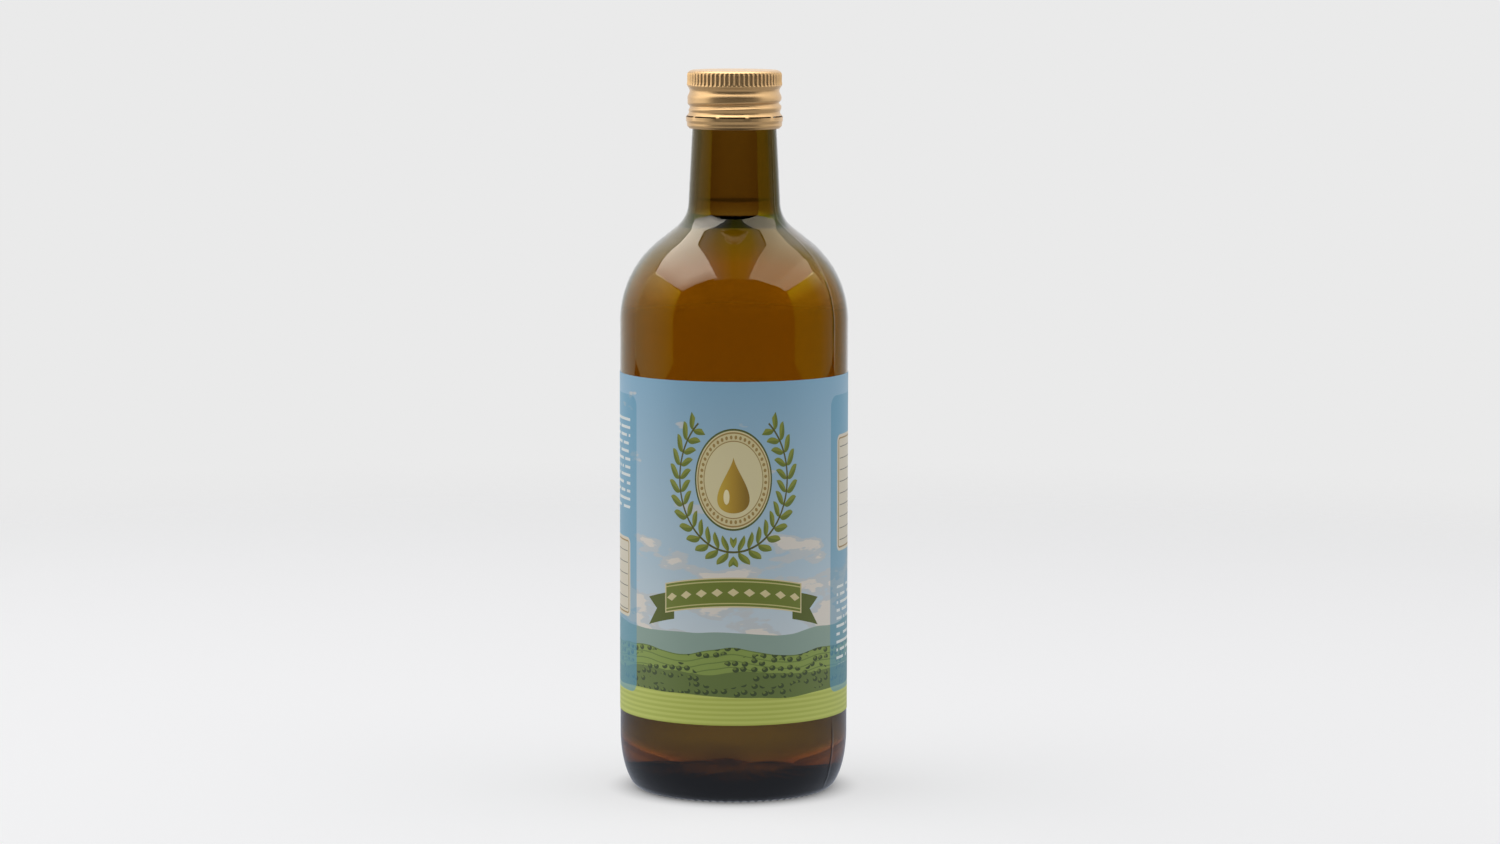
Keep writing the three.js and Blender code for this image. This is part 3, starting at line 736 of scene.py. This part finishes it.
bpy.ops.object.mode_set(mode="EDIT")
bpy.ops.mesh.select_all(action="DESELECT")
bpy.ops.object.mode_set(mode="OBJECT")
for face in cap.data.polygons:
    x, y, z = face.center / MM
    in_slit = SLIT_FOOT < z < SLIT_FOOT + SLIT_WIDTH
    face.select = in_slit and bridge_gap(math.atan2(x, -y)) > SLIT_BRIDGE / 2
bpy.ops.object.mode_set(mode="EDIT")
bpy.ops.mesh.select_mode(type="FACE")
bpy.ops.mesh.delete(type="FACE")
bpy.ops.object.mode_set(mode="OBJECT")
reshape(cap, rolled_skirt)
shell = cap.modifiers.new("sheet", "SOLIDIFY")
shell.thickness = CAP_SHEET * MM
shell.offset = -1
bpy.ops.object.modifier_apply(modifier=shell.name)
bpy.ops.object.shade_smooth_by_angle(angle=math.radians(40))

# Gold-lacquered aluminium: satin sheet under a tinted lacquer, with a fine even grain from rolling that
# softens what it mirrors.
GRAIN_SIZE = 0.3
cap_material, cap_node = new_material("gold_lacquered_aluminium")
cap_place = cap_node("TexCoord", output="Object")
grain = cap_node("TexNoise", sockets={"Vector": cap_place, "Scale": 1 / (GRAIN_SIZE * MM), "Detail": 3.0})
cap_colour = cap_node("ValToRGB", grain, stops=[(0.3, "#d0a76f"), (0.7, "#dbb581")])
cap_gloss = cap_node("MapRange", grain, 0.3, 0.7, 0.34, 0.4)
cap_relief = cap_node("Bump", sockets={"Strength": 0.12, "Distance": 0.03 * MM, "Height": grain})
cap_surface = cap_node("BsdfPrincipled", sockets={
    "Base Color": cap_colour, "Metallic": 1.0, "Roughness": cap_gloss, "Normal": cap_relief,
    "Coat Weight": 0.6, "Coat Roughness": 0.4,
})
cap_node("OutputMaterial", cap_surface)
cap.data.materials.append(cap_material)
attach(cap, "root")
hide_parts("cap")

# Studio: a board of milky acrylic with a painted glow, as though lit a little from below, which evens its
# light and softens shadows on it; the glow dies away at the bottle's foot as a painted contact shadow. The
# board fades into a pale background, inside a white tent that is open at the front. The tent's lit cloth
# shows only in reflections, and soft lamps light the rest.
FLOOR_FADE = (0.62, 1.05)  # metres from the bottle
FLOOR_RADIUS = FLOOR_FADE[1] + 0.05
FLOOR_COLOUR = linear_colour("#9a9a9c")[:3]
# strength of the board's painted glow, a light that no lamp gives
FLOOR_GLOW = 0.55
FLOOR_BEHIND = (0.12, 0.42)  # metres from the bottle over which a painted shade, seen only through the glass, ends
FLOOR_BEHIND_PAINTED_SHADE = (-0.62, 0.1)
FLOOR_BEHIND_PAINTED_TINT = (0.95, 1.7, 1, 1)  # painted tint of that painted shade, seen only through the glass
FLOOR_ASIDE = (0.1, 0.25)  # metres to either side over which the floor behind the bottle, seen through the glass, gets painted light
FLOOR_ASIDE_PAINTED_LIGHT = 0.4
FLOOR_PAINTED_CONTACT_SHADOW_REACH = (0.026, 0.05)  # metres from the axis over which the glow rises from nothing at the bottle's foot: a painted contact shadow
TENT_HALF_WIDTH = 1.67
TENT_FRONT = -0.83
TENT_BACK = 0.85
TENT_TOP = 1.28
BACKGROUND = "#eaeaea"
DIM_SURROUND = "#202020"  # what lights and reflections get of the room
ASIDE_REACH = (0.12, 0.6)  # how far sideways a view through the glass turns as it gets painted light
ASIDE_PAINTED_LIGHT = 0.3
HORIZON_REACH = (0.015, 0.045)  # how far up or down a view through the glass leaves a painted shade along the horizon
HORIZON_PAINTED_SHADE = -0.6

bpy.ops.object.select_all(action="DESELECT")
bpy.ops.mesh.primitive_circle_add(vertices=96, radius=FLOOR_RADIUS, fill_type="NGON")
floor = bpy.context.object
floor.name = "pale_floor"
floor_material, floor_node = new_material("milky_acrylic_board_with_painted_glow")
floor_place = floor_node("TexCoord", output="Object")
floor_reach = floor_node("VectorMath", floor_place, operation="LENGTH", output="Value")
floor_fade = floor_node("MapRange", floor_reach, *FLOOR_FADE, 0.0, 1.0, interpolation_type="SMOOTHSTEP")
# the painted glow, faded out at the bottle's foot into a painted contact shadow
floor_painted_glow = floor_node(
    "MapRange", floor_reach, *FLOOR_PAINTED_CONTACT_SHADOW_REACH, 0.0, FLOOR_GLOW, interpolation_type="SMOOTHSTEP"
)
# Seen only through the glass, the floor behind the bottle gets a tinted painted shade, and painted light to
# either side; both its glow and its board colour take them.
through_glass = floor_node("LightPath", output="Is Transmission Ray")
floor_painted_shade = floor_node("MapRange", floor_reach, *FLOOR_BEHIND, *FLOOR_BEHIND_PAINTED_SHADE)
floor_aside = floor_node("Math", floor_node("SeparateXYZ", floor_place, output="X"), operation="ABSOLUTE")
floor_aside = floor_node("MapRange", floor_aside, *FLOOR_ASIDE, 0.0, FLOOR_ASIDE_PAINTED_LIGHT)
floor_painted_change = floor_node("Math", floor_painted_shade, floor_aside, operation="ADD")
floor_painted_boost = floor_node("Math", through_glass, floor_painted_change, 1.0, operation="MULTIPLY_ADD")
floor_strength = floor_node("Math", floor_painted_glow, floor_painted_boost, operation="MULTIPLY")
floor_near = floor_node("MapRange", floor_reach, *FLOOR_BEHIND, 1.0, 0.0)
floor_near = floor_node("Math", floor_near, through_glass, operation="MULTIPLY")
floor_painted_tints = {6: linear_colour("#ffffff"), 7: FLOOR_BEHIND_PAINTED_TINT}
floor_painted_tint = floor_node("Mix", floor_near, sockets=floor_painted_tints, output=2, data_type="RGBA")
floor_colour = floor_node("VectorMath", FLOOR_COLOUR, floor_painted_tint, operation="MULTIPLY")
floor_colour = floor_node("VectorMath", sockets={0: floor_colour, "Scale": floor_painted_boost}, operation="SCALE")
floor_painted_light = floor_node("Emission", floor_painted_tint, floor_strength)
floor_board = floor_node("BsdfPrincipled", sockets={"Base Color": floor_colour, "Roughness": 0.7})
floor_lit = floor_node("AddShader", floor_painted_light, floor_board)
floor_node("OutputMaterial", floor_node("MixShader", floor_fade, floor_lit, floor_node("BsdfTransparent")))
floor.data.materials.append(floor_material)
floor.visible_glossy = False


def tent_cloth(name, centre, size, turn, brightness, along_x, along_y, only_on, tint="#ffffff"):
    """One lit panel of the tent, whose light may change along its own X and Y, seen only in reflections."""
    bpy.ops.object.select_all(action="DESELECT")
    bpy.ops.mesh.primitive_plane_add(size=1, location=centre, rotation=[math.radians(t) for t in turn])
    cloth = bpy.context.object
    cloth.name = name
    cloth.scale = (*size, 1)
    material, node = new_material(name)
    ramps = []
    for axis, stops in (("X", along_x), ("Y", along_y)):
        if stops:
            share = node("SeparateXYZ", node("TexCoord", output="UV"), output=axis)
            ramps.append(node("ValToRGB", share, stops=stops))
    light = ramps[0] if ramps else linear_colour(tint)
    for ramp in ramps[1:]:
        light = node("VectorMath", light, ramp, operation="MULTIPLY")
    node("OutputMaterial", node("AddShader", node("Emission", light, brightness), node("BsdfTransparent")))
    cloth.data.materials.append(material)
    cloth.visible_camera = cloth.visible_diffuse = cloth.visible_transmission = cloth.visible_shadow = False
    shown_on = bpy.data.collections.new(name + "_shows_on")
    cloth.light_linking.receiver_collection = shown_on
    for piece in only_on:
        shown_on.objects.link(piece)


tent_depth = TENT_BACK - TENT_FRONT
tent_middle = (TENT_BACK + TENT_FRONT) / 2
LEFT_LAMP_EDGE, RIGHT_LAMP_EDGE, RIGHT_LAMP_SEAM = -0.434, 0.38, 1.085
for name, start, end, turn, brightness, along_x, along_y in (
    ("left_lamp", -TENT_HALF_WIDTH, LEFT_LAMP_EDGE, 5, 5.7,
     [(0, "#bcb6aa"), (0.4, "#f3ebdb"), (0.7, "#fff6e6"), (1, "#f6eede")],
     [(0, 0.4), (0.12, 0.7), (0.2, 1.0)]),
    ("right_lamp", RIGHT_LAMP_EDGE, RIGHT_LAMP_SEAM, -5, 2.75,
     [(0, "#e6d9bc"), (0.3, "#fff1d0"), (1, "#f4e6c6")], None),
    ("right_lamp_outer", RIGHT_LAMP_SEAM, TENT_HALF_WIDTH, -5, 3.1, [(0, "#fff1d0"), (1, "#e6d9bc")], None),
):
    centre = ((start + end) / 2, tent_middle, TENT_TOP)
    size = (end - start, tent_depth)
    tent_cloth(name, centre, size, (0, 0, turn), brightness, along_x, along_y, [glass, oil])

# The dark glass shows the dim parts of the tent warmer than the cap and the label do.
GLASS_CLOTH_INSET = 0.98  # the cloth that the glass shows hangs just inside the rest
CEILING_CLOTH_LIFT = 1.02
FLOOR_CLOTH_LIFT = 0.0003
gap_centre = ((LEFT_LAMP_EDGE + RIGHT_LAMP_EDGE) / 2, tent_middle, TENT_TOP)
gap_size = (RIGHT_LAMP_EDGE - LEFT_LAMP_EDGE, tent_depth)
floor_size = (2 * FLOOR_FADE[1], 2 * FLOOR_FADE[1])
side_size = (TENT_TOP, tent_depth)
back_size = (2 * TENT_HALF_WIDTH, TENT_TOP)
left_centre = (-TENT_HALF_WIDTH, tent_middle, TENT_TOP / 2)
right_centre = (TENT_HALF_WIDTH, tent_middle, TENT_TOP / 2)
back_centre = (0, TENT_BACK, TENT_TOP / 2)
front_centre = (0, 2 * TENT_FRONT, TENT_TOP / 2)
flat, upright, sideways = (0, 0, 0), (90, 0, 0), (0, 90, 0)
floor_centre = (0, 0, FLOOR_CLOTH_LIFT)
tent_cloth("floor_in_glass", floor_centre, floor_size, flat, 0.42, None, None, [glass, oil], "#e6eeff")
for name, centre, size, turn, brightness, along_x, along_y in (
    ("ceiling_in_glass", gap_centre, gap_size, flat, 0.8,
     [(0, "#ffffff"), (0.25, "#c4bc95"), (0.5, "#bcb430"), (0.8, "#c4bc59"), (1, "#dadacb")], None),
    ("left_in_glass", left_centre, side_size, sideways, 5.0,
     [(0, 0.5), (0.25, 0.35), (0.55, 0.19), (1, 0.16)], [(0, "#f7da27"), (0.55, "#fef29a"), (1, "#d8dca8")]),
    ("right_in_glass", right_centre, side_size, sideways, 2.4,
     [(0, 1.0), (0.12, 0.8), (0.35, 0.3), (0.6, 0.2), (1, 0.2)],
     [(0, "#f9eb19"), (0.6, "#f9eb40"), (1, "#f7ffbc")]),
    ("back_in_glass", back_centre, back_size, upright, 2.0,
     [(0, "#c8cc9c"), (0.3, "#ebebd5"), (0.45, "#ffffff"), (0.6, "#ffffff"), (0.65, "#d4d8ce"),
      (0.79, "#acb184"), (1, "#aaad6f")],
     [(0, 0.42), (0.16, 0.45), (0.35, 0.68), (0.8, 1.0)]),
):
    centre = [GLASS_CLOTH_INSET * value for value in centre]
    tent_cloth(name, centre, size, turn, brightness, along_x, along_y, [glass, oil])
ceiling_centre = (0, tent_middle, CEILING_CLOTH_LIFT * TENT_TOP)
ceiling_size = (2 * TENT_HALF_WIDTH, tent_depth)
for name, centre, size, turn, brightness, along_x in (
    ("ceiling_on_rest", ceiling_centre, ceiling_size, flat, 3.0,
     [(0, 0.5), (0.34, 0.8), (0.42, 1.1), (0.5, 0.9), (0.58, 1.0), (0.66, 0.6), (1, 0.45)]),
    ("floor_on_rest", (0, 0, 0), floor_size, flat, 0.5, None),
    ("left_on_rest", left_centre, side_size, sideways, 3.0,
     [(0, 0.6), (0.3, 0.55), (0.6, 0.52), (1, 0.45)]),
    ("right_on_rest", right_centre, side_size, sideways, 2.2,
     [(0, 0.5), (0.35, 0.48), (0.6, 0.5), (1, 0.42)]),
    ("back_on_rest", back_centre, back_size, upright, 0.9, None),
    ("front_on_rest", front_centre, back_size, upright, 0.07, None),
):
    tent_cloth(name, centre, size, turn, brightness, along_x, None, [cap, label])

LAMP_WIDTH = 1.1
for name, step, radiance in (("lamp_left", -1, 3.2), ("lamp_middle", 0, 1.8), ("lamp_right", 1, 2.1)):
    lamp_data = bpy.data.lights.new(name, "AREA")
    lamp_data.shape = "RECTANGLE"
    lamp_data.size = LAMP_WIDTH
    lamp_data.size_y = tent_depth
    lamp_data.energy = radiance * math.pi * LAMP_WIDTH * tent_depth
    lamp = bpy.data.objects.new(name, lamp_data)
    lamp.location = (step * LAMP_WIDTH, tent_middle, TENT_TOP)
    lamp.visible_camera = lamp.visible_glossy = lamp.visible_transmission = False
    bpy.context.scene.collection.objects.link(lamp)

world = bpy.data.worlds.new("pale_background")
world.use_nodes = True
world.node_tree.nodes.clear()
world_node = functools.partial(add_node, world.node_tree)
# Seen only through the glass, the pale background gets painted light to either side and painted shade along
# the horizon.
through_glass = world_node("LightPath", output="Is Transmission Ray")
direction = world_node("TexCoord", output="Generated")
aside = world_node("Math", world_node("SeparateXYZ", direction, output="X"), operation="ABSOLUTE")
aside_painted_light = world_node("MapRange", aside, *ASIDE_REACH, 0.0, ASIDE_PAINTED_LIGHT)
horizon = world_node("Math", world_node("SeparateXYZ", direction, output="Z"), operation="ABSOLUTE")
horizon_painted_shade = world_node("MapRange", horizon, *HORIZON_REACH, HORIZON_PAINTED_SHADE, 0.0)
pale_change = world_node("Math", aside_painted_light, horizon_painted_shade, operation="ADD")
pale_strength = world_node("Math", pale_change, through_glass, 1.0, operation="MULTIPLY_ADD")
pale = world_node("Background", linear_colour(BACKGROUND), pale_strength)
dim = world_node("Background", linear_colour(DIM_SURROUND), 1.0)
in_view = world_node("LightPath", output="Is Camera Ray")
seen = world_node("Math", in_view, through_glass, operation="MAXIMUM")
world_node("OutputWorld", world_node("MixShader", seen, dim, pale))
bpy.context.scene.world = world

# Camera: at the photograph's height and distance, looking a little down on the label.
CAMERA_PLACE = (0.00606, -1.691, 0.3286)
CAMERA_TILT = 6.391  # degrees down
CAMERA_TURN = 0.12  # degrees to the left
camera_data = bpy.data.cameras.new("camera")
camera_data.lens = 108
camera_data.sensor_width = 36
camera = bpy.data.objects.new("camera", camera_data)
camera.location = CAMERA_PLACE
camera.rotation_mode = "ZXY"
camera.rotation_euler = (math.radians(90 - CAMERA_TILT), 0, math.radians(CAMERA_TURN))
bpy.context.scene.collection.objects.link(camera)
bpy.context.scene.camera = camera
bpy.context.scene.view_settings.view_transform = "Standard"
